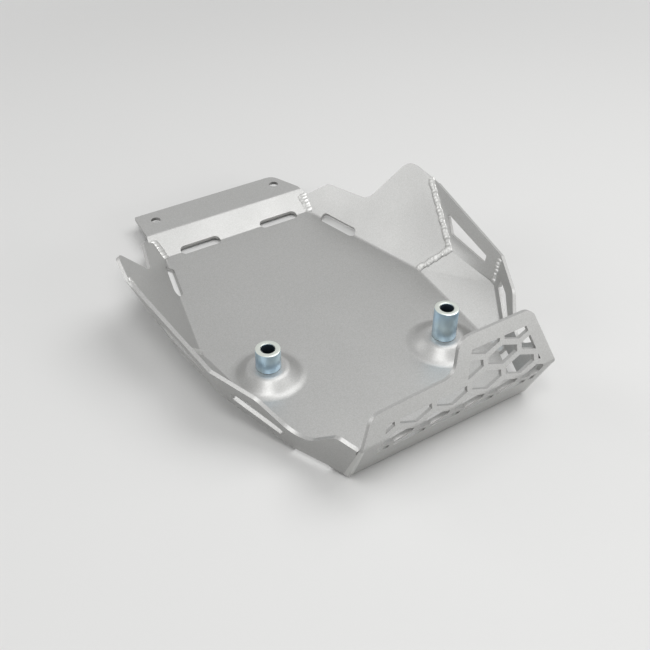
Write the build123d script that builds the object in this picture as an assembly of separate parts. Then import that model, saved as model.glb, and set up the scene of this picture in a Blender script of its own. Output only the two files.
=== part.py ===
"""Motorcycle engine guard: a 3 mm aluminium skid tray, laser cut, folded and welded at its corners.

Frame: X runs across the motorcycle, Y runs from the honeycomb nose (-Y) to the rear flange (+Y)
and Z points up into the tray. The underside of the flat floor is at Z = 0 and the origin lies
under the middle of the floor. All sizes are millimetres.
"""
import os
from math import cos, hypot, radians, sin, tan

from build123d import *

os.makedirs("parts", exist_ok=True)

# Sheet
SHEET = 3.0                 # thickness of the aluminium plate
BEND_RADIUS = 3.0           # inside radius of every fold

# Folds of the floor: distance of each from the origin, and the way it faces (degrees from +X)
REAR_FOLD_Y = 131.3         # floor to riser
NOSE_FOLD_Y = -172.3        # floor to nose strip
WING_REACH, WING_FACES = 105.2, 13.2
SHOULDER_REACH, SHOULDER_FACES = 108.9, -6.1
CHEEK_OUT, CHEEK_FACES = 33.6, -23.75    # the cheek follows the shoulder, this much further out
SIDE_OUT, SIDE_FACES = 14.8, -4.1        # so does the side wall, which stands on the shoulder
CHEEK_REACH = SHOULDER_REACH + CHEEK_OUT
SIDE_REACH = SHOULDER_REACH + SIDE_OUT

# Slope of each wall above the plane of the floor, in degrees
WING_SLOPE = 55.2
SHOULDER_SLOPE = 46.6
SIDE_SLOPE = 72.8
CHEEK_SLOPE = 76.8
RISER_SLOPE = 25.0
STRIP_SLOPE = 66.8          # leans out, so the nose is undercut
NOSE_SLOPE = 75.0           # leans back over the tray

# Rear flange
FLANGE_HEIGHT = 11.7        # its top face above the floor's top face
FLANGE_END_Y = 192.0
FLANGE_HALF = 82.9
FLANGE_END_LEFT = 79.7      # half width of the rear edge on the left, where the corner is nearly square
FLANGE_END_RIGHT = 70.5     # and on the right, where it is cut off
FLANGE_CUT_Y = 160.8        # the cut corner starts here
FLANGE_CUT_RADIUS = 10.0
RISER_END_Y = 148.4         # the riser is welded to the wing up to here
REAR_HALF = 78.0            # half width of the riser at its foot, and where its weld ends
RISER_HALF = 85.1
FLANGE_HOLE = 9.0
FLANGE_HOLE_X = 64.3
FLANGE_HOLE_Y = 177.5

# Relief slots along the folds
SLOT_WIDTH = 10.0
REAR_SLOT_LENGTH = 40.5
REAR_SLOTS_X = (-40.5, 43.5)
WING_SLOT_LENGTH = 44.0
WING_SLOT_AT = 71.0         # middle of the slot, along the wing's fold
SLOT_UP = 1.3               # how far the middle of these slots lies up the wall from the fold
CHEEK_SLOT_REAR = -81.0     # square end, along the cheek's fold
CHEEK_SLOT_FRONT = -114.0   # round end

# Walls: corners of each upper edge as (along the fold, up the wall, corner radius)
WING_RIM = [(127.0, 7.8, 0), (102.0, 32.8, 9), (52.3, 36.6, 13), (27.8, 85.4, 12), (-12.0, 77.4, 0)]
SIDE_RIM = [(62.0, 75.0, 0), (46.5, 69.8, 0), (-69.0, 52.4, 0), (-85.0, 52.4, 0)]
WALL_TOP = 78.0              # no wall stands as high as this
CHEEK_RIM = [(-4.0, 53.2, 0), (-18.0, 51.3, 0), (-57.0, 43.4, 14), (-90.7, 16.0, 21), (-122.8, 46.2, 7),
             (-150.0, 38.8, 0), (-178.0, 38.8, 0)]
SIDE_WINDOW = [(7.5, 51.2), (-6.5, 37.5), (-55.0, 37.0), (-54.2, 43.4)]
CHEEK_WINDOW = [(-33.6, 37.5), (-34.1, 30.4), (-72.8, 13.5), (-77.8, 17.6), (-48.6, 34.9)]
WINDOW_CORNER = 1.2

# Nose
CREASE_RISE = 47.1          # height of the crease between the strip and the honeycomb nose
NOSE_TALL = 49.5            # length of the nose above the crease, right half
NOSE_LOW = 23.0             # the same on the left half
NOSE_END_LEAN = 0.43        # how much each end leans in, for each millimetre up
STEP_TOP_X = 0.0            # the slanted step between the two heights
STEP_FOOT_X = -7.0
STEP_RADIUS = 11.0
NOSE_CORNER = 11.0
CREASE_CORNER = 12.0        # the ends of the nose bend over softly into the ends of the strip
STRIP_JOIN = 12.0           # the nose is drawn with this much of the strip below the crease

# Honeycomb of the nose: rows of flattened hexagons that run on over the crease into the strip
CELL_PITCH = 30.6
ROW_PITCH = 13.8
CELL_FLANK = 20.0           # slope of the long edges, in degrees
WEB = 4.3                   # width of the bars between windows
CELL_X = 20.4               # middle of one window of the row next above the crease
CELL_UP = 10.4
NOSE_BORDER = 11.5          # plain metal left around the honeycomb
STRIP_WINDOW_DEPTH = 19.6   # how far the windows run down the strip
SMALLEST_WINDOW = 3.0       # cells with less area than this are left solid, in square millimetres

# Dimples and the spacers that stand on them
DIMPLE = 55.0
DIMPLE_TOP = 31.0
DIMPLE_HEIGHT = 9.0
DIMPLE_EDGE = 5.0           # radius of its soft edges
SPACER = 19.8
SPACER_BORE = 10.9
SPACER_CHAMFER = 0.7
SHORT_SPOT = (-76.0, -55.5)
SHORT_LENGTH = 17.5
LONG_SPOT = (63.5, -97.3)
LONG_LENGTH = 27.5
BOLT_CLEARANCE = 0.6        # the bolt hole in the plate is this much wider than the spacer's bore

# Weld beads
BEAD_WIDTH = 8.4
BEAD_RISE = 2.0
BEAD_LAP = 1.5              # a bead runs on this far past a bend of its seam
REAR_BEAD_TOP = 11.5        # heights at which the beads end
SIDE_BEAD_TOP = 65.0
SHOULDER_BEAD_TOP = 48.0
NOSE_CORNER_LEFT = 1.3      # metal left behind the nose weld, which is ground flush
NOSE_WELD_TIP = 1.2         # depth of that weld under the crease

BIG = 400.0


class Wall:
    """A flat wall that rises from a fold at the given reach, and its own drawing plane."""

    def __init__(self, reach, faces, slope, side=1):
        self.level = Vector(cos(radians(faces)) * side, sin(radians(faces)), 0)
        self.out = self.level * sin(radians(slope)) - Vector(0, 0, cos(radians(slope)))
        self.foot = self.level * reach + Vector(0, 0, SHEET)
        along = Vector(-sin(radians(faces)) * side, cos(radians(faces)), 0)
        self.slope = slope
        self.side = side
        self.along = along
        self.plane = Plane(origin=self.foot, x_dir=along * side, z_dir=self.out)

    def inside(self, grow=0.0):
        """Everything on the tray's side of this wall's inner face, moved out by grow."""
        block = Box(3 * BIG, 3 * BIG, BIG, align=(Align.CENTER, Align.CENTER, Align.MAX))
        return Plane(origin=self.foot + self.out * grow, z_dir=self.out) * block

    def point(self, along, up, depth=0.0):
        return self.plane.from_local_coords(Vector(along * self.side, up, depth))

    def cutter(self, corners, reach=14.0):
        """A prism square to the wall, through it, for corners drawn as (along, up, corner radius)."""
        face = self.plane * outline([(along * self.side, up, radius) for along, up, radius in corners])
        return extrude(face, reach, dir=self.out, both=True)

    def holds(self, point, grow):
        """True for a point on the wall's inner face, moved out by grow."""
        return abs((point - self.foot).dot(self.out) - grow) < 0.01


def outline(corners):
    """A flat face from a chain of (x, y, corner radius)."""
    face = make_face(Polyline(*[(x, y) for x, y, radius in corners], close=True))
    for x, y, radius in corners:
        if radius:
            corner = face.vertices().sort_by_distance((x, y, 0))[0]
            face = fillet(corner, radius)
    return face


def walls_of(side):
    """The four walls of one side, from the rear to the nose."""
    return {
        "wing": Wall(WING_REACH, WING_FACES, WING_SLOPE, side),
        "shoulder": Wall(SHOULDER_REACH, SHOULDER_FACES, SHOULDER_SLOPE, side),
        "side": Wall(SIDE_REACH, SIDE_FACES, SIDE_SLOPE, side),
        "cheek": Wall(CHEEK_REACH, CHEEK_FACES, CHEEK_SLOPE, side),
    }


RIGHT = walls_of(1)
LEFT = walls_of(-1)
RISER = Wall(REAR_FOLD_Y, 90, RISER_SLOPE)
STRIP = Wall(-NOSE_FOLD_Y, -90, STRIP_SLOPE)
ALL_WALLS = [*RIGHT.values(), *LEFT.values(), RISER, STRIP]


def meeting(*planes):
    """The point where three planes, each given as (normal, point on it), meet."""
    (n1, p1), (n2, p2), (n3, p3) = planes
    total = n2.cross(n3) * n1.dot(p1) + n3.cross(n1) * n2.dot(p2) + n1.cross(n2) * n3.dot(p3)
    return total * (1 / n1.dot(n2.cross(n3)))


def inner(wall):
    return wall.out, wall.foot


def level(height):
    return Vector(0, 0, 1), Vector(0, 0, height)


def tray_block(grow, radius):
    """The room inside the tray, or the same grown by the sheet, with its folds rounded."""
    low = Pos(0, 0, SHEET - grow)
    block = low * Box(3 * BIG, 3 * BIG, BIG / 4, align=(Align.CENTER, Align.CENTER, Align.MIN))
    for wall in ALL_WALLS:
        block = block & wall.inside(grow)
    return block.fillet(radius, [edge for edge in block.edges() if is_fold(edge, grow)])


def is_fold(edge, grow):
    """True for the folds around the floor and for the creases between shoulder and side."""
    middle = edge.position_at(0.5)
    if abs(middle.Z - SHEET + grow) < 0.01:
        return True
    return any(walls["shoulder"].holds(middle, grow) and walls["side"].holds(middle, grow)
               for walls in (RIGHT, LEFT))


def above_rim(wall, rim, behind=()):
    """The waste above a wall's upper edge, closed over its top, from the rear to the front."""
    top = BIG / 2
    rear = behind[0][0] if behind else rim[0][0]
    return wall.cutter([(rear, top, 0), *behind, *rim, (rim[-1][0], top, 0)])


def fold_slot(wall, middle, length, up=0.0, square_rear=False):
    """A slot that lies along a fold and is cut square to the half angle of the bend."""
    lean = wall.level * -sin(radians(wall.slope / 2)) + Vector(0, 0, cos(radians(wall.slope / 2)))
    width = SLOT_WIDTH * cos(radians(wall.slope / 2))
    shape = SlotOverall(length, width)
    if square_rear:
        shape += Pos(length / 4 * wall.side, 0) * Rectangle(length / 2, width)
    face = Plane(origin=wall.point(middle, up), x_dir=wall.along * wall.side, z_dir=lean) * shape
    return extrude(face, 3 * SHEET, dir=lean, both=True)


def window(wall, corners):
    return wall.cutter([(along, up, WINDOW_CORNER) for along, up in corners])


def profile_plate(top_line, side):
    """A plate with the given outline in the YZ plane, offset to one side by the sheet."""
    (y0, z0), (y1, z1), (y2, z2) = top_line
    first = Vector(y1 - y0, z1 - z0).normalized()
    second = Vector(y2 - y1, z2 - z1).normalized()
    turn = Vector(-first.Y, first.X) * side
    turn2 = Vector(-second.Y, second.X) * side
    corner = (turn + turn2).normalized() * (SHEET / cos(radians(turn.get_angle(turn2) / 2)))
    start = Vector(y0, z0) + turn * SHEET
    middle = Vector(y1, z1) + corner
    end = Vector(y2, z2) + turn2 * SHEET
    points = [*top_line, (end.X, end.Y), (middle.X, middle.Y), (start.X, start.Y)]
    face = Plane.YZ * make_face(Polyline(*points, close=True))
    plate = extrude(face, BIG / 2, both=True)
    inner_corner, outer_corner = (middle.X, middle.Y), (y1, z1)
    plate = round_fold(plate, outer_corner, BEND_RADIUS + SHEET)
    return round_fold(plate, inner_corner, BEND_RADIUS)


def round_fold(plate, corner, radius):
    edges = [e for e in plate.edges().filter_by(Axis.X)
             if hypot(e.center().Y - corner[0], e.center().Z - corner[1]) < 0.01]
    return plate.fillet(radius, edges)


def flange():
    """The top of the riser and the flange that it carries, with two bolt holes."""
    start = REAR_FOLD_Y + SHEET
    fold = REAR_FOLD_Y + FLANGE_HEIGHT / tan(radians(RISER_SLOPE))
    top = SHEET + FLANGE_HEIGHT
    line = [(start, SHEET + SHEET * tan(radians(RISER_SLOPE))), (fold, top), (FLANGE_END_Y + SHEET, top)]
    plate = profile_plate(line, -1)
    shape = [
        (REAR_HALF, REAR_FOLD_Y, 0), (RISER_HALF, RISER_END_Y, 3), (FLANGE_HALF, fold, 0),
        (FLANGE_HALF, FLANGE_CUT_Y, FLANGE_CUT_RADIUS),
        (FLANGE_END_RIGHT, FLANGE_END_Y, FLANGE_CUT_RADIUS),
        (-FLANGE_END_LEFT, FLANGE_END_Y, WINDOW_CORNER),
        (-FLANGE_HALF, fold, 0), (-RISER_HALF, RISER_END_Y, 3), (-REAR_HALF, REAR_FOLD_Y, 0),
    ]
    plate = plate & extrude(outline(shape), BIG / 8)
    for side in (-1, 1):
        plate -= Pos(side * FLANGE_HOLE_X, FLANGE_HOLE_Y, top) * Cylinder(FLANGE_HOLE / 2, 20)
    return plate


def crease():
    """Where the outer faces of the strip and the nose meet, as (Y, Z)."""
    foot = STRIP.foot + STRIP.out * SHEET
    return foot.Y - (CREASE_RISE - foot.Z) / tan(radians(STRIP_SLOPE)), CREASE_RISE


def nose_half_width():
    """Half length of the crease, which ends at the outer faces of the cheeks."""
    y, z = crease()
    cheek = RIGHT["cheek"]
    grown = cheek.foot + cheek.out * SHEET
    gap = cheek.out.dot(grown) - cheek.out.Y * y - cheek.out.Z * z
    return gap / cheek.out.X


def nose_outline():
    """Outline of the nose as (X, length above the crease, corner radius)."""
    half = nose_half_width()
    low = -2 * STRIP_JOIN
    return [
        (half, low, 0), (half, 0.0, CREASE_CORNER),
        (half - NOSE_END_LEAN * NOSE_TALL, NOSE_TALL, NOSE_CORNER),
        (STEP_TOP_X, NOSE_TALL, STEP_RADIUS),
        (STEP_FOOT_X, NOSE_LOW + 1.2, STEP_RADIUS),
        (-half + NOSE_END_LEAN * NOSE_LOW, NOSE_LOW - 1.0, NOSE_CORNER),
        (-half, 0.0, CREASE_CORNER), (-half, low, 0),
    ]


def honeycomb_field():
    """The area that the windows may fill, inside the border of the nose."""
    half = nose_half_width()
    rim = NOSE_BORDER
    right = half - rim
    left = -half + rim + 5
    return [
        (right, -STRIP_WINDOW_DEPTH), (right, 0.0),
        (right - NOSE_END_LEAN * NOSE_TALL + 6, NOSE_TALL - rim),
        (STEP_TOP_X + rim - 2.5, NOSE_TALL - rim),
        (STEP_FOOT_X + rim - 1.5, NOSE_LOW - rim + 1),
        (left + 4, NOSE_LOW - rim - 0.5), (left, 0.0), (left, -STRIP_WINDOW_DEPTH),
    ]


def cell(x, up):
    """One window: a flattened hexagon with upright ends."""
    rise = CELL_PITCH / 2 * tan(radians(CELL_FLANK))
    half = (CELL_PITCH - WEB) / 2
    tip = (ROW_PITCH + rise) / 2 - WEB / 2 / cos(radians(CELL_FLANK))
    shoulder = tip - half * tan(radians(CELL_FLANK))
    corners = [(x, up + tip), (x + half, up + shoulder), (x + half, up - shoulder),
               (x, up - tip), (x - half, up - shoulder), (x - half, up + shoulder)]
    return make_face(Polyline(*corners, close=True))


def windows():
    """Every honeycomb window as a flat face in (X, length above the crease)."""
    field = make_face(Polyline(*honeycomb_field(), close=True))
    found = []
    for row in range(-2, 3):
        shift = CELL_PITCH / 2 if row % 2 else 0.0
        for column in range(-4, 4):
            x = CELL_X + shift + column * CELL_PITCH
            hole = cell(x, CELL_UP + row * ROW_PITCH) & field
            if hole:
                found += [face for face in hole.faces() if face.area > SMALLEST_WINDOW]
    return found


def nose():
    """The upper end of the strip and the nose that folds back from it, with the honeycomb."""
    y, z = crease()
    lower = (y + STRIP_JOIN / tan(radians(STRIP_SLOPE)), z - STRIP_JOIN)
    length = NOSE_TALL + SHEET
    upper = (y + length * cos(radians(NOSE_SLOPE)), z + length * sin(radians(NOSE_SLOPE)))
    plate = profile_plate([lower, (y, z), upper], -1)
    face = nose_plane() * outline(nose_outline())
    plate = plate & extrude(face, 3 * STRIP_JOIN, dir=nose_plane().z_dir, both=True)
    for cheek in (RIGHT["cheek"], LEFT["cheek"]):
        plate = plate & (cheek.inside(SHEET) + Pos(0, 0, z) * Box(BIG, BIG, BIG, align=(
            Align.CENTER, Align.CENTER, Align.MIN)))
    return plate


def nose_plane():
    y, z = crease()
    tilt = radians(NOSE_SLOPE)
    return Plane(origin=(0, y, z), x_dir=(1, 0, 0), z_dir=(0, -sin(tilt), cos(tilt)))


def strip_plane():
    y, z = crease()
    tilt = radians(STRIP_SLOPE)
    return Plane(origin=(0, y, z), x_dir=(1, 0, 0), z_dir=(0, -sin(tilt), -cos(tilt)))


def honeycomb_cutters():
    """The windows as prisms, square to the nose above the crease and to the strip below it."""
    above = Pos(0, BIG / 2) * Rectangle(BIG, BIG)
    below = Pos(0, -BIG / 2) * Rectangle(BIG, BIG)
    cutters = []
    for hole in windows():
        for half, plane in ((above, nose_plane()), (below, strip_plane())):
            part = hole & half
            if part:
                face = plane * part.faces()[0]
                cutters.append(extrude(face, SHEET + 3, dir=plane.z_dir, both=True))
    return cutters


def dimple(spot):
    """A round dimple pressed up from below: a truncated cone of even thickness."""
    foot, crown = DIMPLE / 2, DIMPLE_TOP / 2
    slope = (foot - crown) / DIMPLE_HEIGHT
    shift = SHEET * (hypot(1, slope) - slope)
    upper = [(foot + 4, SHEET), (foot, SHEET), (crown, SHEET + DIMPLE_HEIGHT), (0, SHEET + DIMPLE_HEIGHT)]
    lower = [(0, DIMPLE_HEIGHT), (crown - shift, DIMPLE_HEIGHT), (foot - shift, 0), (foot + 4, 0)]
    section = make_face(Polyline(*upper, *lower, close=True))
    soft = [v for v in section.vertices() if crown - shift - 0.1 < v.X < foot + 0.1]
    section = fillet(soft, DIMPLE_EDGE)
    shell = revolve(Plane.XZ * section, Axis.Z)
    shell -= Cylinder((SPACER_BORE + BOLT_CLEARANCE) / 2, 60)
    return Pos(*spot, 0) * shell


def guard_plate():
    """The folded and welded blank, from the rear flange to the honeycomb nose."""
    room = tray_block(0.0, BEND_RADIUS)
    plate = tray_block(SHEET, BEND_RADIUS + SHEET) - room
    for walls in (RIGHT, LEFT):
        plate -= above_rim(walls["wing"], WING_RIM, behind=[(BIG, -BIG / 10, 0), (WING_RIM[0][0], -BIG / 10, 0)])
        plate -= above_rim(walls["side"], SIDE_RIM)
        plate -= above_rim(walls["cheek"], CHEEK_RIM)
    over = Pos(0, 0, WALL_TOP) * Box(3 * BIG, 3 * BIG, BIG, align=(Align.CENTER, Align.CENTER, Align.MIN))
    plate -= over
    behind = Pos(0, REAR_FOLD_Y + 10, 0) * Box(2 * BIG, BIG, BIG, align=(Align.CENTER, Align.MIN, Align.CENTER))
    plate -= behind - RISER.inside()
    y, z = crease()
    over = Pos(0, 0, z - STRIP_JOIN * 0.7) * Box(BIG, 3 * BIG, BIG, align=(Align.CENTER, Align.CENTER, Align.MIN))
    plate -= over - STRIP.inside()
    plate += flange()
    plate += nose()
    for cutter in honeycomb_cutters():
        plate -= cutter
    for spot in (SHORT_SPOT, LONG_SPOT):
        plate -= Pos(*spot, 0) * Cylinder(DIMPLE / 2 + 2, 30)
        plate += dimple(spot)
    for walls in (RIGHT, LEFT):
        plate -= fold_slot(walls["wing"], WING_SLOT_AT, WING_SLOT_LENGTH, SLOT_UP)
        middle = (CHEEK_SLOT_REAR + CHEEK_SLOT_FRONT) / 2
        plate -= fold_slot(walls["cheek"], middle, CHEEK_SLOT_REAR - CHEEK_SLOT_FRONT, square_rear=True)
        plate -= window(walls["side"], SIDE_WINDOW)
        plate -= window(walls["cheek"], CHEEK_WINDOW)
    for x in REAR_SLOTS_X:
        plate -= fold_slot(RISER, -x, REAR_SLOT_LENGTH, SLOT_UP)
    return plate


def spacer(spot, length):
    """A turned steel spacer that stands on a dimple, with chamfered ends."""
    tube = Cylinder(SPACER / 2, length, align=(Align.CENTER, Align.CENTER, Align.MIN))
    tube -= Cylinder(SPACER_BORE / 2, length, align=(Align.CENTER, Align.CENTER, Align.MIN))
    rims = [e for e in tube.edges().filter_by(GeomType.CIRCLE) if e.radius > SPACER / 2 - 0.01]
    tube = chamfer(rims, SPACER_CHAMFER)
    return Pos(*spot, SHEET + DIMPLE_HEIGHT) * tube


def bead(points, into):
    """A weld bead along a chain of points on a seam, before it is trimmed by the tray's walls."""
    radius = (BEAD_WIDTH ** 2 / 4 + BEAD_RISE ** 2) / (2 * BEAD_RISE)
    points = [p - into * (radius - BEAD_RISE) for p in points]
    bars = []
    for start, end in zip(points, points[1:]):
        lap = (end - start).normalized() * BEAD_LAP
        run = end - start + lap * 2
        bars.append(Plane(origin=start - lap, z_dir=run) * Cylinder(
            radius, run.length, align=(Align.CENTER, Align.CENTER, Align.MIN)))
    return sum(bars[1:], bars[0])


def inward(*walls):
    total = Vector(0, 0, 0)
    for wall in walls:
        total = total - wall.out
    return total.normalized()


def rear_bead(walls, room):
    wing = walls["wing"]
    foot = meeting(inner(wing), inner(RISER), level(SHEET))
    top = meeting(inner(wing), inner(RISER), level(REAR_BEAD_TOP))
    return bead([foot, top], inward(wing, RISER)) & room


def side_bead(walls, room):
    """From the floor up between wing and shoulder, then up between wing and side."""
    wing, shoulder, side = walls["wing"], walls["shoulder"], walls["side"]
    foot = meeting(inner(wing), inner(shoulder), level(SHEET))
    middle = meeting(inner(wing), inner(shoulder), inner(side))
    top = meeting(inner(wing), inner(side), level(SIDE_BEAD_TOP))
    return bead([foot, middle, top], inward(wing, shoulder, side)) & room


def shoulder_bead(walls, room):
    side, cheek = walls["side"], walls["cheek"]
    foot = meeting(inner(side), inner(cheek), inner(walls["shoulder"]))
    top = meeting(inner(side), inner(cheek), level(SHOULDER_BEAD_TOP))
    return bead([foot, top], inward(side, cheek)) & room


def nose_corner(walls):
    """The space of the weld at the corner of cheek and strip, from the floor up to the crease."""
    cheek = walls["cheek"]
    y, z = crease()
    into = inward(cheek, STRIP)
    foot = meeting(inner(cheek), inner(STRIP), level(SHEET)) - into * NOSE_CORNER_LEFT
    tip = Vector(cheek.side * nose_half_width(), y, z) + into * NOSE_WELD_TIP
    across = into.cross(tip - foot)
    out = (tip - foot).cross(across).normalized()
    if out.dot(into) > 0:
        out = out * -1
    block = Box(BIG, BIG, BIG, align=(Align.CENTER, Align.CENTER, Align.MIN))
    below = Pos(0, 0, CREASE_RISE - BEND_RADIUS) * Box(
        3 * BIG, 3 * BIG, BIG, align=(Align.CENTER, Align.CENTER, Align.MAX))
    return Plane(origin=foot, z_dir=out) * block & below


plate = guard_plate()
room = tray_block(0.0, BEND_RADIUS)
hull = tray_block(SHEET, BEND_RADIUS + SHEET)
for name, walls in (("right", RIGHT), ("left", LEFT)):
    corner = nose_corner(walls)
    plate -= corner
    export_step(hull & corner, f"parts/weld_nose_{name}.step")
    export_step(rear_bead(walls, room), f"parts/weld_rear_{name}.step")
    export_step(side_bead(walls, room), f"parts/weld_side_{name}.step")
    export_step(shoulder_bead(walls, room), f"parts/weld_shoulder_{name}.step")
print("plate", plate.volume, len(plate.solids()), plate.is_valid)
export_step(plate, "parts/guard_plate.step")
export_step(spacer(SHORT_SPOT, SHORT_LENGTH), "parts/spacer_short.step")
export_step(spacer(LONG_SPOT, LONG_LENGTH), "parts/spacer_long.step")
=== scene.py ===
# %% [markdown]
# # A motorcycle engine guard
# The guard is one sheet of aluminium: a flat floor with folded walls, a bolt flange at the back
# and a honeycomb nose at the front. Weld beads close its corners, and two steel spacers stand
# on dimples pressed into the floor. The solid model already has every fold and hole at its real
# size, so this lesson adds what the eye looks for: soft edges, rippled welds, turned spacers,
# real finishes, and the light of a small studio.

# %% Load the frame
from math import cos, pi, radians, sin

import bmesh
import bpy
from mathutils import Matrix, Vector


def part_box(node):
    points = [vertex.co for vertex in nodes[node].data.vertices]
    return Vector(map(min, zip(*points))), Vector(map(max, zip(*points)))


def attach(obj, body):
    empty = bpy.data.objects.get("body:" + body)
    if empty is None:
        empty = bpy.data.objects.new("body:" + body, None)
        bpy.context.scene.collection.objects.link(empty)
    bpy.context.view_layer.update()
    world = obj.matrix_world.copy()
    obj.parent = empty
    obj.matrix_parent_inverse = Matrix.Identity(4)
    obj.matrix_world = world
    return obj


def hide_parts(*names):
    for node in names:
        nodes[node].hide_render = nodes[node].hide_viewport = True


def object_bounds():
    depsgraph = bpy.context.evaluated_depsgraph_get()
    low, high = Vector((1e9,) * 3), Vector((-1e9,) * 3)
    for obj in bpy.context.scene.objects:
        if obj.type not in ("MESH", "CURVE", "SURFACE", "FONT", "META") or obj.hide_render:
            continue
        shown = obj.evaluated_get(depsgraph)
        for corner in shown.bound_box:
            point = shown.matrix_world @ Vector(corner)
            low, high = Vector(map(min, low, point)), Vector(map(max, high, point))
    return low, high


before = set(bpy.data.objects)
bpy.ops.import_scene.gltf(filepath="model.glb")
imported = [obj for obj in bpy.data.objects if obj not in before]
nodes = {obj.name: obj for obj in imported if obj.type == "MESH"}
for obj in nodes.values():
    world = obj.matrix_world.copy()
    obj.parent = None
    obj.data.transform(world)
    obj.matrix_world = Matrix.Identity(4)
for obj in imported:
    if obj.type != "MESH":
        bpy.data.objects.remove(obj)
cad_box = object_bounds()
print("solid model:", [[round(v * 1000, 1) for v in corner] for corner in cad_box], "mm")

# %% [markdown]
# ## Small helpers
# Blender works in metres, while a maker thinks in millimetres, so one value turns one into the
# other. Operators act on everything that is selected. It is safest to clear the selection first
# and then to choose the one object, or the few faces, that the next step is about.

# %% Helpers for selecting and placing
MM = 0.001
NEAR = 0.1 * MM         # two measures closer than this count as the same


def only(piece):
    """Makes this piece the only one that is selected, and the active one."""
    bpy.ops.object.select_all(action="DESELECT")
    piece.select_set(True)
    bpy.context.view_layer.objects.active = piece


def pick(piece, kind, test):
    """In edit mode, selects the faces, edges or corners that pass a test, and nothing else."""
    bpy.ops.mesh.select_mode(type=kind)
    bpy.ops.mesh.select_all(action="DESELECT")
    shape = bmesh.from_edit_mesh(piece.data)
    chosen = 0
    for item in {"FACE": shape.faces, "EDGE": shape.edges, "VERT": shape.verts}[kind]:
        if test(item):
            item.select_set(True)
            chosen += 1
    bmesh.update_edit_mesh(piece.data)
    return chosen


# %% [markdown]
# A finished piece stands in for one node of the solid model. Its place is put into its mesh, so
# that the object itself sits at the origin, and it rides on the one body that the guard has.

# %% Helper for finished pieces
def settle(piece, node, material):
    """Puts the place of a finished piece into its mesh, and lets it stand for a node."""
    only(piece)
    bpy.ops.object.transform_apply(location=True, rotation=True, scale=True)
    piece.name = piece.data.name = node + "_dressed"
    piece.data.materials.clear()
    piece.data.materials.append(material)
    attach(piece, "root")
    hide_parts(node)
    print(piece.name, len(piece.data.polygons), "faces")


# %% [markdown]
# ## Colours and shader nodes
# A colour is written the way a paint chart gives it, as a hex number in sRGB. Shaders add up
# light, so they need linear numbers, and one function does that step. A second function adds a
# node with its settings and its links, so that each finish can be read from top to bottom.

# %% Helpers for colours and nodes
def linear(code):
    """Turns an sRGB hex colour into the linear colour that a shader expects."""
    parts = [int(code[i:i + 2], 16) / 255 for i in (1, 3, 5)]
    parts = [p / 12.92 if p <= 0.04045 else ((p + 0.055) / 1.055) ** 2.4 for p in parts]
    return (*parts, 1.0)


def add(tree, kind, links=None, **settings):
    """Adds a node. A setting is an input if the node has one by that name, else a property."""
    node = tree.nodes.new(kind)
    for name, value in settings.items():
        label = name.replace("_", " ")
        socket = next((s for s in node.inputs if s.name.lower() == label), None)
        if socket is not None:
            socket.default_value = value
        else:
            setattr(node, name, value)
    for name, source in (links or {}).items():
        tree.links.new(source, node.inputs[name])
    return node


def coloured(sockets, name):
    """The socket of this name that carries a colour. A mix node has others of the same name."""
    return next(s for s in sockets if s.name == name and s.type == "RGBA")


def new_finish(name):
    """An empty material with its output node and the object's own coordinates."""
    finish = bpy.data.materials.new(name)
    finish.use_nodes = True
    tree = finish.node_tree
    tree.nodes.clear()
    output = add(tree, "ShaderNodeOutputMaterial")
    place = add(tree, "ShaderNodeTexCoord").outputs["Object"]
    print("new finish:", name)
    return finish, tree, output, place


# %% [markdown]
# ## The finish of the plate
# The real plate is aluminium, bead blasted after welding and covered with a satin silver powder
# coat. Blasting leaves a fine even grain, and the coat makes it look pale and soft, brighter
# where a face leans towards the lamp. Metallic flake in the coat acts like a rough metal, so the
# shader is mostly metallic with a middling roughness. A flat grey would look like plastic here,
# so two noise patterns vary it: the grain, in tone and relief, and wide faint clouds, in sheen.
# The grain of the real coat is about 0.3 mm across, which is finer than a pixel here, so it is
# drawn at 0.9 mm to show.

# %% Satin silver powder coat
GRAIN = 0.9 * MM
CLOUD = 55 * MM

coat, tree, output, place = new_finish("satin_silver_powder_coat")
grain = add(tree, "ShaderNodeTexNoise", {"Vector": place},
            scale=1 / GRAIN, detail=3.0, roughness=0.6)
cloud = add(tree, "ShaderNodeTexNoise", {"Vector": place}, scale=1 / CLOUD, detail=2.0)
speckle = add(tree, "ShaderNodeMapRange", {"Value": grain.outputs["Fac"]},
              from_min=0.3, from_max=0.7, to_min=0.0, to_max=1.0)
tone = add(tree, "ShaderNodeMix", {"Factor": speckle.outputs["Result"]}, data_type="RGBA")
coloured(tone.inputs, "A").default_value = linear("#A6A6A4")
coloured(tone.inputs, "B").default_value = linear("#B7B7B6")
sheen = add(tree, "ShaderNodeMapRange", {"Value": cloud.outputs["Fac"]},
            from_min=0.3, from_max=0.7, to_min=0.40, to_max=0.47)
relief = add(tree, "ShaderNodeBump", {"Height": grain.outputs["Fac"]},
             strength=0.25, distance=0.05 * MM)
skin = add(tree, "ShaderNodeBsdfPrincipled", {
    "Base Color": coloured(tone.outputs, "Result"),
    "Roughness": sheen.outputs["Result"],
    "Normal": relief.outputs["Normal"]}, metallic=0.8)
tree.links.new(skin.outputs["BSDF"], output.inputs["Surface"])

# %% [markdown]
# ## The finish of the welds
# A weld bead is cast metal, laid down drop by drop, and then coated with the rest. It could share
# the finish of the plate, but it is a little paler and smoother than the blasted sheet, so its
# ripples catch small bright lights. The specks of spatter on it are about 1.2 mm across.

# %% Coated weld metal
SPECK = 1.2 * MM

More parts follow.
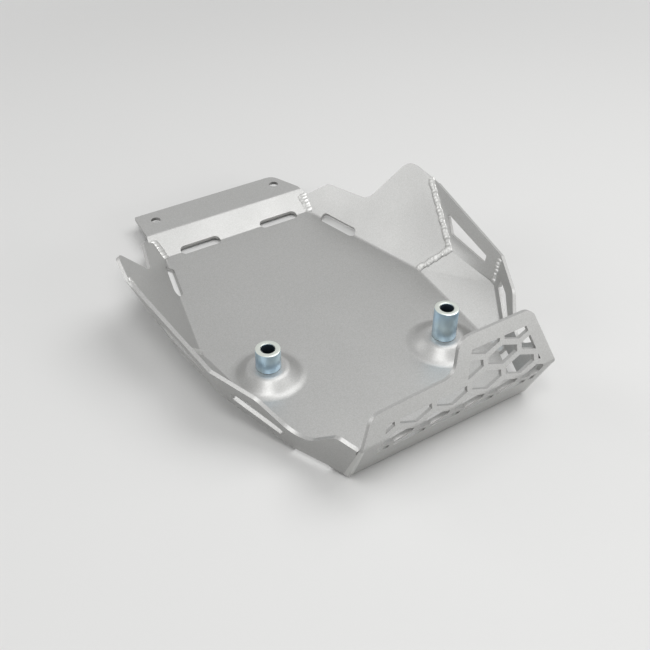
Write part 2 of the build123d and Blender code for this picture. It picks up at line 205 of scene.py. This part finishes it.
weld_metal, tree, output, place = new_finish("coated_weld_metal")
specks = add(tree, "ShaderNodeTexNoise", {"Vector": place}, scale=1 / SPECK, detail=2.0)
relief = add(tree, "ShaderNodeBump", {"Height": specks.outputs["Fac"]},
             strength=0.2, distance=0.08 * MM)
skin = add(tree, "ShaderNodeBsdfPrincipled", {"Normal": relief.outputs["Normal"]},
           base_color=linear("#C4C4C2"), metallic=0.8, roughness=0.40)
tree.links.new(skin.outputs["BSDF"], output.inputs["Surface"])

# %% [markdown]
# ## The finish of the spacers
# The spacers are turned from steel bar and zinc plated with a blue passivation. The lathe tool
# leaves fine rings round them, about 0.15 mm apart. That is far below a pixel here, so they are
# drawn 3.14 mm apart to show. They are too shallow to model, so a wave pattern only tilts the
# light on the surface. The zinc is smooth, so its roughness is low, and the passivation gives it
# a cool tint, in stains about 14 mm across. The flat ends that face up catch the overhead lamp,
# so they get a painted highlight: a paler colour without the blue.

# %% Blue zinc plate: its colour, with a painted highlight on the upper ends
RING = 3.14 * MM
STAIN = 14 * MM
WAVE = 2 * pi / 20      # the distance in metres between two bands of a wave pattern at scale 1
FACES_UP = 0.8          # a face whose normal has a Z above this looks up and gets the painted highlight

zinc, tree, output, place = new_finish("blue_zinc_plated_steel")
stain = add(tree, "ShaderNodeTexNoise", {"Vector": place}, scale=1 / STAIN, detail=1.0)
tint = add(tree, "ShaderNodeValToRGB", {"Fac": stain.outputs["Fac"]})
for stop, position, code in zip(tint.color_ramp.elements, (0.35, 0.68), ("#C0DBEE", "#D0E4EC")):
    stop.position = position
    stop.color = linear(code)
normal = add(tree, "ShaderNodeNewGeometry").outputs["Normal"]
facing = add(tree, "ShaderNodeSeparateXYZ", {"Vector": normal})
# painted highlight: faces that look up get the pale colour below instead of the blue stains
painted_top_highlight = add(tree, "ShaderNodeMath", {0: facing.outputs["Z"]}, operation="GREATER_THAN")
painted_top_highlight.inputs[1].default_value = FACES_UP
shade = add(tree, "ShaderNodeMix", {"Factor": painted_top_highlight.outputs[0]}, data_type="RGBA")
tree.links.new(tint.outputs["Color"], coloured(shade.inputs, "A"))
coloured(shade.inputs, "B").default_value = linear("#D6DBD4")

# %% Blue zinc plate: its turned rings
rings = add(tree, "ShaderNodeTexWave", {"Vector": place}, wave_type="BANDS",
            bands_direction="Z", scale=WAVE / RING, distortion=0.4, detail=1.0)
relief = add(tree, "ShaderNodeBump", {"Height": rings.outputs["Fac"]},
             strength=0.25, distance=0.03 * MM)
skin = add(tree, "ShaderNodeBsdfPrincipled", {
    "Base Color": coloured(shade.outputs, "Result"),
    "Normal": relief.outputs["Normal"]}, metallic=1.0, roughness=0.28)
tree.links.new(skin.outputs["BSDF"], output.inputs["Surface"])

# %% [markdown]
# The narrow bore lies deep in shade, so its wall gets a dark dull steel: this is painted shade.
# Plain black would look like a spot of paint, while dark steel still shows a soft glint near the
# rim. The drill leaves marks about 1.5 mm wide, which vary the roughness.

# %% Painted shade in the bores: dark dull steel
MARK = 1.5 * MM

# painted shade: the wall of the deep, narrow bore is given a dark steel
bore_painted_shade, tree, output, place = new_finish("bore_dark_steel_painted_shade")
marks = add(tree, "ShaderNodeTexNoise", {"Vector": place}, scale=1 / MARK, detail=2.0)
wear = add(tree, "ShaderNodeMapRange", {"Value": marks.outputs["Fac"]}, to_min=0.45, to_max=0.6)
skin = add(tree, "ShaderNodeBsdfPrincipled", {"Roughness": wear.outputs["Result"]},
           base_color=linear("#4E5A63"), metallic=1.0)
tree.links.new(skin.outputs["BSDF"], output.inputs["Surface"])

# %% [markdown]
# ## The dimples of the plate
# The two dimples are pressed with a soft tool, so the sheet flows into them with hardly an edge.
# Their soft edges in the solid are tight. They could be bevelled again, but each edge is already
# a set of rings of corners, so here the rings are spread: every ring is scaled about the middle
# of the dimple and lifted onto a wider arc.

# %% Wider arcs for the dimples, in millimetres
SPOTS = ((-76.0, -55.5), (63.5, -97.3))     # the middles of the dimples
FLOOR_TOP, DIMPLE_TOP = 3.0, 12.0
FLANK = radians(36.87)                      # slope of a dimple's side
CROWN_ARC, CROWN_FLAT = 8.0, 12.8           # radius of the arc, and where the flat ends
FOOT_ARC, FOOT_FLAT = 12.0, 31.5
CROWN_RINGS = (13.8, 14.5, 15.1, 15.7, 16.3, 16.8)      # radii of the rings in the solid
FOOT_RINGS = (29.2, 28.5, 27.9, 27.3, 26.7, 26.2)
RING_MOVES = [(19.9, 19.6, 8.9), (23.1, 22.0, 7.1)]     # old radius, new radius and height

for index, (crown, foot) in enumerate(zip(CROWN_RINGS, FOOT_RINGS)):
    turn = FLANK * index / (len(CROWN_RINGS) - 1)
    RING_MOVES.append((crown, CROWN_FLAT + CROWN_ARC * sin(turn),
                       DIMPLE_TOP - CROWN_ARC * (1 - cos(turn))))
    RING_MOVES.append((foot, FOOT_FLAT - FOOT_ARC * sin(turn),
                       FLOOR_TOP + FOOT_ARC * (1 - cos(turn))))
print(len(RING_MOVES), "rings to move on each dimple")


# %% Moving the rings
def ring_at(piece, middle, radius):
    """The numbers of the corners above the floor that lie on a ring round the middle."""
    return {v.index for v in bmesh.from_edit_mesh(piece.data).verts
            if v.co.z > FLOOR_TOP * MM - NEAR
            and abs((v.co.xy - middle).length - radius * MM) < 0.12 * MM}


def spread_dimples(piece):
    """In edit mode, moves the rings at the crown and foot of both dimples onto wider arcs."""
    for spot in SPOTS:
        middle = Vector(spot) * MM
        rings = [ring_at(piece, middle, old) for old, new, height in RING_MOVES]
        for found, (old, new, height) in zip(rings, RING_MOVES):
            if not found:
                continue
            pick(piece, "VERT", lambda v: v.index in found)
            shape = bmesh.from_edit_mesh(piece.data)
            shape.verts.ensure_lookup_table()
            lift = height * MM - shape.verts[min(found)].co.z
            bpy.ops.transform.resize(value=(new / old, new / old, 1),
                                     center_override=(*middle, 0))
            bpy.ops.transform.translate(value=(0, 0, lift))
        print("spread", sum(len(ring) for ring in rings), "corners of a dimple")


# %% [markdown]
# ## The slots at the front cheeks
# Over the low front rims the eye looks down on the floor just beside the cheek slots. The slots
# of the solid reach a little further into the floor than the real ones do, and that would show
# as a thin dark line. So the upper edge of each slot is moved out by 1.9 mm, towards the wall.

# %% The upper edges of the slots, in millimetres
CHEEK_REACH, CHEEK_FACES = 142.5, radians(-23.75)   # how far out the cheek is, and where it looks
SLOT_INWARD = (3.9, 5.2)        # the edge lies between these distances in from the cheek's reach
SLOT_ALONG = (-116, -79)        # and between these along the cheek's fold
SLOT_SHIFT = 1.9


def close_slots(piece):
    """In edit mode, moves the floor's edge of both cheek slots towards the wall."""
    for side in (1, -1):
        out = Vector((cos(CHEEK_FACES) * side, sin(CHEEK_FACES), 0))
        along = Vector((-sin(CHEEK_FACES) * side, cos(CHEEK_FACES), 0))

        def on_edge(corner):
            inward = CHEEK_REACH - corner.co.dot(out) / MM
            return (SLOT_INWARD[0] < inward < SLOT_INWARD[1]
                    and abs(corner.co.z - FLOOR_TOP * MM) < NEAR
                    and SLOT_ALONG[0] < corner.co.dot(along) / MM < SLOT_ALONG[1])

        print("moved", pick(piece, "VERT", on_edge), "corners of a slot")
        bpy.ops.transform.translate(value=out * SLOT_SHIFT * MM)


# %% [markdown]
# ## The plate with soft edges
# No real sheet has perfectly sharp edges: tumbling, blasting and powder coat round them to a few
# tenths of a millimetre, and that thin round line is what catches the light along every rim.
# The plate could be folded again here, but the solid is exact, so a copy of it is the better
# start. The solid's own mesh must stay as it is. The copy is merged into one skin, its flat faces
# are cleaned of needless edges, and a small bevel is put on every sharp one. Weighted normals
# keep the big faces flat, so that only the folds and the bevels look round. The welds at the two
# corners of the nose are ground flush with the sheet, so they are made in the same way.

# %% A copy with rounded edges
EDGE_ROUND = 0.5 * MM
MERGE = 0.01 * MM
SAME_FACE = radians(0.4)        # faces that differ by less are one face
SHARP = radians(35)             # an edge that turns by more gets a bevel
SMOOTH = radians(32)            # one that turns by less is shaded smooth


def soften(node, material):
    """Dresses a node in a copy of itself with rounded edges."""
    piece = nodes[node].copy()
    piece.data = nodes[node].data.copy()
    bpy.context.scene.collection.objects.link(piece)
    only(piece)
    bpy.ops.object.mode_set(mode="EDIT")
    bpy.ops.mesh.select_all(action="SELECT")
    bpy.ops.mesh.remove_doubles(threshold=MERGE)
    bpy.ops.mesh.dissolve_limited(angle_limit=SAME_FACE)
    if node == "guard_plate":
        spread_dimples(piece)
        close_slots(piece)
    bpy.ops.object.mode_set(mode="OBJECT")
    rounding = piece.modifiers.new("soft edges", "BEVEL")
    rounding.width = EDGE_ROUND
    rounding.segments = 2
    rounding.limit_method = "ANGLE"
    rounding.angle_limit = SHARP
    rounding.use_clamp_overlap = True
    bpy.ops.object.modifier_apply(modifier=rounding.name)
    bpy.ops.object.shade_smooth_by_angle(angle=SMOOTH)
    flatness = piece.modifiers.new("flat faces", "WEIGHTED_NORMAL")
    flatness.keep_sharp = True
    bpy.ops.object.modifier_apply(modifier=flatness.name)
    settle(piece, node, material)


# %% Plate and ground welds
soften("guard_plate", coat)
soften("weld_nose_right", weld_metal)
soften("weld_nose_left", weld_metal)

# %% [markdown]
# ## The weld beads
# A welder adds drop after drop of metal, each one overlapping the last, so a bead looks like a
# row of fallen coins, and no two drops are quite alike. A pattern in the material could hint at
# that, but the outline would stay straight, so the drops are modelled. Each seam is given by its
# ends, by the direction that it faces and by its girth, because the welder fills the wide gap at
# the rear with a fatter bead.

# %% Seams of the right side, in millimetres
SEAMS = {
    "weld_rear": ([(78.0, 131.2, 3.9), (80.2, 146.2, 11.6)], (-0.45, -0.34, 0.83), 1.4),
    "weld_side": ([(109.7, -4.8, 3.7), (129.9, -20.8, 26.8), (145.9, 31.3, 66.3)],
                  (-0.85, -0.01, 0.53), 1.0),
    "weld_shoulder": ([(126.8, -81.9, 30.9), (132.2, -79.4, 47.6)], (-0.94, 0.23, 0.27), 0.9),
}
for name, (points, facing, girth) in SEAMS.items():
    print(name, round((Vector(points[-1]) - Vector(points[0])).length, 1), "mm from end to end")

# %% [markdown]
# One drop is a flattened ball. The side that points on along the seam froze last, so it is a
# little shorter, wider and higher than the rest. The drop is made once, and then copied.

# %% One drop of weld metal
DROP_SIZE = (3.4, 3.9, 1.6)     # half its length, half its width, and its rise, in millimetres
FRONT = 0.55                    # the front of the drop starts here, for a ball of radius 1

bpy.ops.object.select_all(action="DESELECT")
bpy.ops.mesh.primitive_uv_sphere_add(segments=20, ring_count=10, radius=1.0)
drop = bpy.context.active_object
bpy.ops.object.mode_set(mode="EDIT")
pick(drop, "FACE", lambda face: face.calc_center_median().x > FRONT)
bpy.ops.transform.resize(value=(0.8, 1.06, 1.12), center_override=(FRONT, 0, 0))
bpy.ops.mesh.select_all(action="SELECT")
bpy.ops.transform.resize(value=[half * MM for half in DROP_SIZE], center_override=(0, 0, 0))
bpy.ops.object.mode_set(mode="OBJECT")
print("one drop:", [round(v * 1000, 1) for v in drop.dimensions], "mm")

# %% [markdown]
# The drops are laid along the seam, each a little larger or smaller, more or less tilted, and a
# little to the side. Sines of uneven pitch stand in for the welder's hand, so that every run of
# this lesson gives the same bead. The left beads start elsewhere on those sines, so they aren't
# plain mirror images of the right ones.

# %% Lay the drops along a seam
DROP_STEP = 3.2 * MM
STRAY = 0.35 * MM
LEFT_START = 40


def lay_drops(points, facing, girth, mirror):
    """Copies the drop along a chain of points, and returns the copies."""
    side = Vector((-1 if mirror else 1, 1, 1))
    points = [Vector(p) * MM * side for p in points]
    facing = Vector(facing) * side
    drops = []
    for start, end in zip(points, points[1:]):
        along = (end - start).normalized()
        up = (facing - along * facing.dot(along)).normalized()
        across = up.cross(along)
        turn = Matrix((along, across, up)).transposed().to_4x4()
        count = max(2, round((end - start).length / DROP_STEP))
        for index in range(1 if drops else 0, count + 1):
            beat = len(drops) + (LEFT_START if mirror else 0)
            wider = 0.11 * sin(beat * 2.3) + 0.07 * sin(beat * 5.1 + 1)
            size = Matrix.Diagonal((1.0 + wider, girth + wider, girth - wider, 1.0))
            tilt = Matrix.Rotation(radians(-16 + 5 * sin(beat * 1.3)), 4, "Y")
            stray = across * STRAY * sin(beat * 1.7)
            place = Matrix.Translation(start + (end - start) * (index / count) + stray)
            copy = drop.copy()
            copy.data = drop.data.copy()
            copy.data.transform(place @ turn @ tilt @ size)
            bpy.context.scene.collection.objects.link(copy)
            drops.append(copy)
    return drops


# %% [markdown]
# The drops then melt into one skin: the remesh modifier wraps them all in a fine net, and
# smoothing lets the valleys between them fill up, as liquid metal does. Joined balls without
# this step would meet in hard creases.

# %% Melt the drops into a bead
def melt_bead(name, drops):
    """Joins drops into one closed and rounded bead, which stands for the node of that name."""
    bpy.ops.object.select_all(action="DESELECT")
    for copy in drops:
        copy.select_set(True)
    bpy.context.view_layer.objects.active = drops[0]
    bpy.ops.object.join()
    bead = bpy.context.active_object
    melt = bead.modifiers.new("one skin", "REMESH")
    melt.mode = "VOXEL"
    melt.voxel_size = 0.4 * MM
    melt.use_smooth_shade = True
    bpy.ops.object.modifier_apply(modifier=melt.name)
    flow = bead.modifiers.new("filled valleys", "SMOOTH")
    flow.factor = 0.5
    flow.iterations = 12
    bpy.ops.object.modifier_apply(modifier=flow.name)
    settle(bead, name, weld_metal)


for name, (points, facing, girth) in SEAMS.items():
    melt_bead(name + "_right", lay_drops(points, facing, girth, mirror=False))
    melt_bead(name + "_left", lay_drops(points, facing, girth, mirror=True))
bpy.data.objects.remove(drop)

# %% [markdown]
# ## The spacers
# Each spacer is a short tube with a small chamfer at every rim. A boolean could cut the bore out
# of a cylinder, but it leaves uneven faces that bevel badly. So the two flat ends are inset to
# the size of the bore, the inner rounds are bridged to open it, and the rims are bevelled. The
# size and place come from the node that the spacer stands for.

# %% Turn a spacer
BORE = 10.9 * MM
RIM = 0.7 * MM
SIDES = 96


def turn_spacer(node):
    """A tube as wide and as high as the node, with chamfered rims."""
    low, high = (Vector(corner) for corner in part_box(node))
    width, half = high.x - low.x, (high.z - low.z) / 2
    bpy.ops.object.select_all(action="DESELECT")
    bpy.ops.mesh.primitive_cylinder_add(
        vertices=SIDES, radius=width / 2, depth=high.z - low.z, location=(low + high) / 2)
    spacer = bpy.context.active_object
    bpy.ops.object.mode_set(mode="EDIT")
    pick(spacer, "FACE", lambda face: abs(face.normal.z) > 0.9)
    bpy.ops.mesh.inset(thickness=(width - BORE) / 2)
    bpy.ops.mesh.bridge_edge_loops()
    pick(spacer, "EDGE", lambda edge: all(abs(abs(v.co.z) - half) < NEAR for v in edge.verts)
         and abs(edge.verts[0].co.xy.length - edge.verts[1].co.xy.length) < NEAR)
    bpy.ops.mesh.bevel(offset=RIM, segments=2)
    bpy.ops.mesh.select_all(action="SELECT")
    bpy.ops.mesh.normals_make_consistent(inside=False)
    bpy.ops.object.mode_set(mode="OBJECT")
    bpy.ops.object.shade_smooth_by_angle(angle=radians(30))
    settle(spacer, node, zinc)
    return spacer, (low + high) / 2


# %% [markdown]
# The wall of the bore gets the dark steel of the painted shade, as a second material on the same
# piece. Its faces are upright, and none of the others that are upright lies so near to the
# middle.

# %% Spacers with painted shade in their bores
for node in ("spacer_short", "spacer_long"):
    spacer, middle = turn_spacer(node)
    spacer.data.materials.append(bore_painted_shade)
    bpy.ops.object.mode_set(mode="EDIT")
    inside = pick(spacer, "FACE", lambda face: abs(face.normal.z) < 0.1 and
                  (face.calc_center_median() - middle).xy.length < BORE / 2 + NEAR)
    spacer.active_material_index = 1
    bpy.ops.object.material_slot_assign()
    bpy.ops.object.mode_set(mode="OBJECT")
    print(spacer.name, "has", inside, "faces in its bore")

# %% [markdown]
# ## The backdrop
# Metal looks like whatever it mirrors, so it needs a studio round it and not a void. Rays that
# the camera or a shiny or clear surface sends out see a pale backdrop, while the rays that carry
# light to the guard see only the even fill of the room. One helper tells the two kinds apart.

# %% Helper for the backdrop
BACKDROP = "#EDEDED"


def backdrop_rays(tree):
    """A socket that is 1 for the rays that see the backdrop, and 0 for those that carry light."""
    rays = add(tree, "ShaderNodeLightPath").outputs
    seen = rays["Is Camera Ray"]
    for kind in ("Is Glossy Ray", "Is Transmission Ray"):
        seen = add(tree, "ShaderNodeMath", {0: seen, 1: rays[kind]},
                   operation="ADD", use_clamp=True).outputs[0]
    return seen


# %% [markdown]
# ## The floor
# The guard lies on a roll of plain pale paper, as in a small photo studio. The paper is matt,
# with fibres about 4 mm long that hardly show. The lamps leave its far part dim, and more light
# would bleach the guard, so from 0.6 m outwards the paper fades into the backdrop instead.

# %% Studio paper
FIBRE = 4 * MM
FADE_START, FADE_END = 0.6, 1.8         # metres from the middle of the guard

paper, tree, output, place = new_finish("pale_studio_paper")
fibre = add(tree, "ShaderNodeTexNoise", {"Vector": place}, scale=1 / FIBRE, detail=2.0)
relief = add(tree, "ShaderNodeBump", {"Height": fibre.outputs["Fac"]},
             strength=0.05, distance=0.05 * MM)
skin = add(tree, "ShaderNodeBsdfPrincipled", {"Normal": relief.outputs["Normal"]},
           base_color=linear("#E4E4E3"), roughness=0.9)
beyond = add(tree, "ShaderNodeEmission", color=linear(BACKDROP), strength=1.0)
reach = add(tree, "ShaderNodeVectorMath", {0: place}, operation="LENGTH")
fade = add(tree, "ShaderNodeMapRange", {"Value": reach.outputs["Value"]},
           interpolation_type="SMOOTHSTEP", from_min=FADE_START, from_max=FADE_END)
share = add(tree, "ShaderNodeMath", {0: backdrop_rays(tree), 1: fade.outputs["Result"]},
            operation="MULTIPLY")
sweep = add(tree, "ShaderNodeMixShader", {
    0: share.outputs[0], 1: skin.outputs["BSDF"], 2: beyond.outputs[0]})
tree.links.new(sweep.outputs[0], output.inputs["Surface"])
paper.cycles.emission_sampling = "NONE"     # the fade is there to be seen, and is not a lamp

# %% Floor
FLOOR_GAP = 0.2 * MM                    # keeps the paper just clear of the guard's underside

bpy.ops.object.select_all(action="DESELECT")
bpy.ops.mesh.primitive_plane_add(size=8.0, location=(0, 0, cad_box[0][2] - FLOOR_GAP))
floor = bpy.context.active_object
floor.name = "studio_floor"
floor.data.materials.append(paper)
print("floor:", [round(v, 1) for v in floor.dimensions], "m")

# %% [markdown]
# ## The light of the room
# The world gives an even fill from all sides, so that no fold goes black. It is kept low, because
# the lamps have to model the shape.

# %% World
FILL = 0.31

world = bpy.data.worlds.new("studio")
bpy.context.scene.world = world
world.use_nodes = True
tree = world.node_tree
tree.nodes.clear()
output = add(tree, "ShaderNodeOutputWorld")
fill = add(tree, "ShaderNodeBackground", color=linear("#FFFFFF"), strength=FILL)
backdrop = add(tree, "ShaderNodeBackground", color=linear(BACKDROP), strength=1.0)
choice = add(tree, "ShaderNodeMixShader", {
    0: backdrop_rays(tree), 1: fill.outputs[0], 2: backdrop.outputs[0]})
tree.links.new(choice.outputs[0], output.inputs["Surface"])
print("world:", world.name, "with a fill of", FILL)


# %% [markdown]
# ## The lamps
# A large soft lamp hangs overhead and makes the riser, which leans up to it, the brightest facet.
# A small one in front of it puts a gleam on the near side of each dimple, and a wide one at the
# left and behind lifts the right walls. The nose leans forward and would only mirror the floor,
# so a low wide lamp in front shines on it. Each lamp is turned to face the spot that it is for.

# %% Lamps
def soft_lamp(name, place, target, size, power):
    """A rectangular soft box at a place, turned to face a target."""
    light = bpy.data.lights.new(name, "AREA")
    light.shape = "RECTANGLE"
    light.size, light.size_y = size
    light.energy = power
    lamp = bpy.data.objects.new(name, light)
    lamp.location = place
    lamp.rotation_euler = (Vector(target) - Vector(place)).to_track_quat("-Z", "Y").to_euler()
    bpy.context.scene.collection.objects.link(lamp)
    print("lamp:", name, size, "m,", power, "W")


soft_lamp("overhead", place=(0.68, -0.14, 1.42), target=(0, 0, 0), size=(1.2, 1.2), power=10.5)
soft_lamp("front_top", place=(-0.42, -0.55, 1.4), target=(0, -0.1, 0), size=(0.5, 0.5), power=5.5)
soft_lamp("left_back", place=(-1.3, 1.05, 0.85), target=(0, 0, 0.05), size=(1.6, 0.9), power=7.5)
soft_lamp("nose_front", place=(0.85, -1.45, 0.36), target=(0, -0.19, 0.09), size=(1.6, 0.6),
          power=10.5)

# %% [markdown]
# ## The camera
# The camera stands to the left, in front and above, and looks down into the tray. Its place,
# turn and focal length were found by fitting the part's own corners to the reference picture.

# %% Camera
lens = bpy.data.cameras.new("camera")
lens.sensor_width = 36.0
lens.lens = 49.65
lens.clip_start = 0.01
camera = bpy.data.objects.new("camera", lens)
camera.location = (-0.32513, -0.51176, 0.47433)
camera.rotation_euler = (radians(50.9165), radians(-0.7863), radians(-32.7671))
bpy.context.scene.collection.objects.link(camera)
bpy.context.scene.camera = camera
print("camera:", round(camera.location.length, 2), "m from the middle,", lens.lens, "mm lens")

# %% [markdown]
# The plain Standard view shows each colour as it is written.

bpy.context.scene.view_settings.view_transform = "Standard"
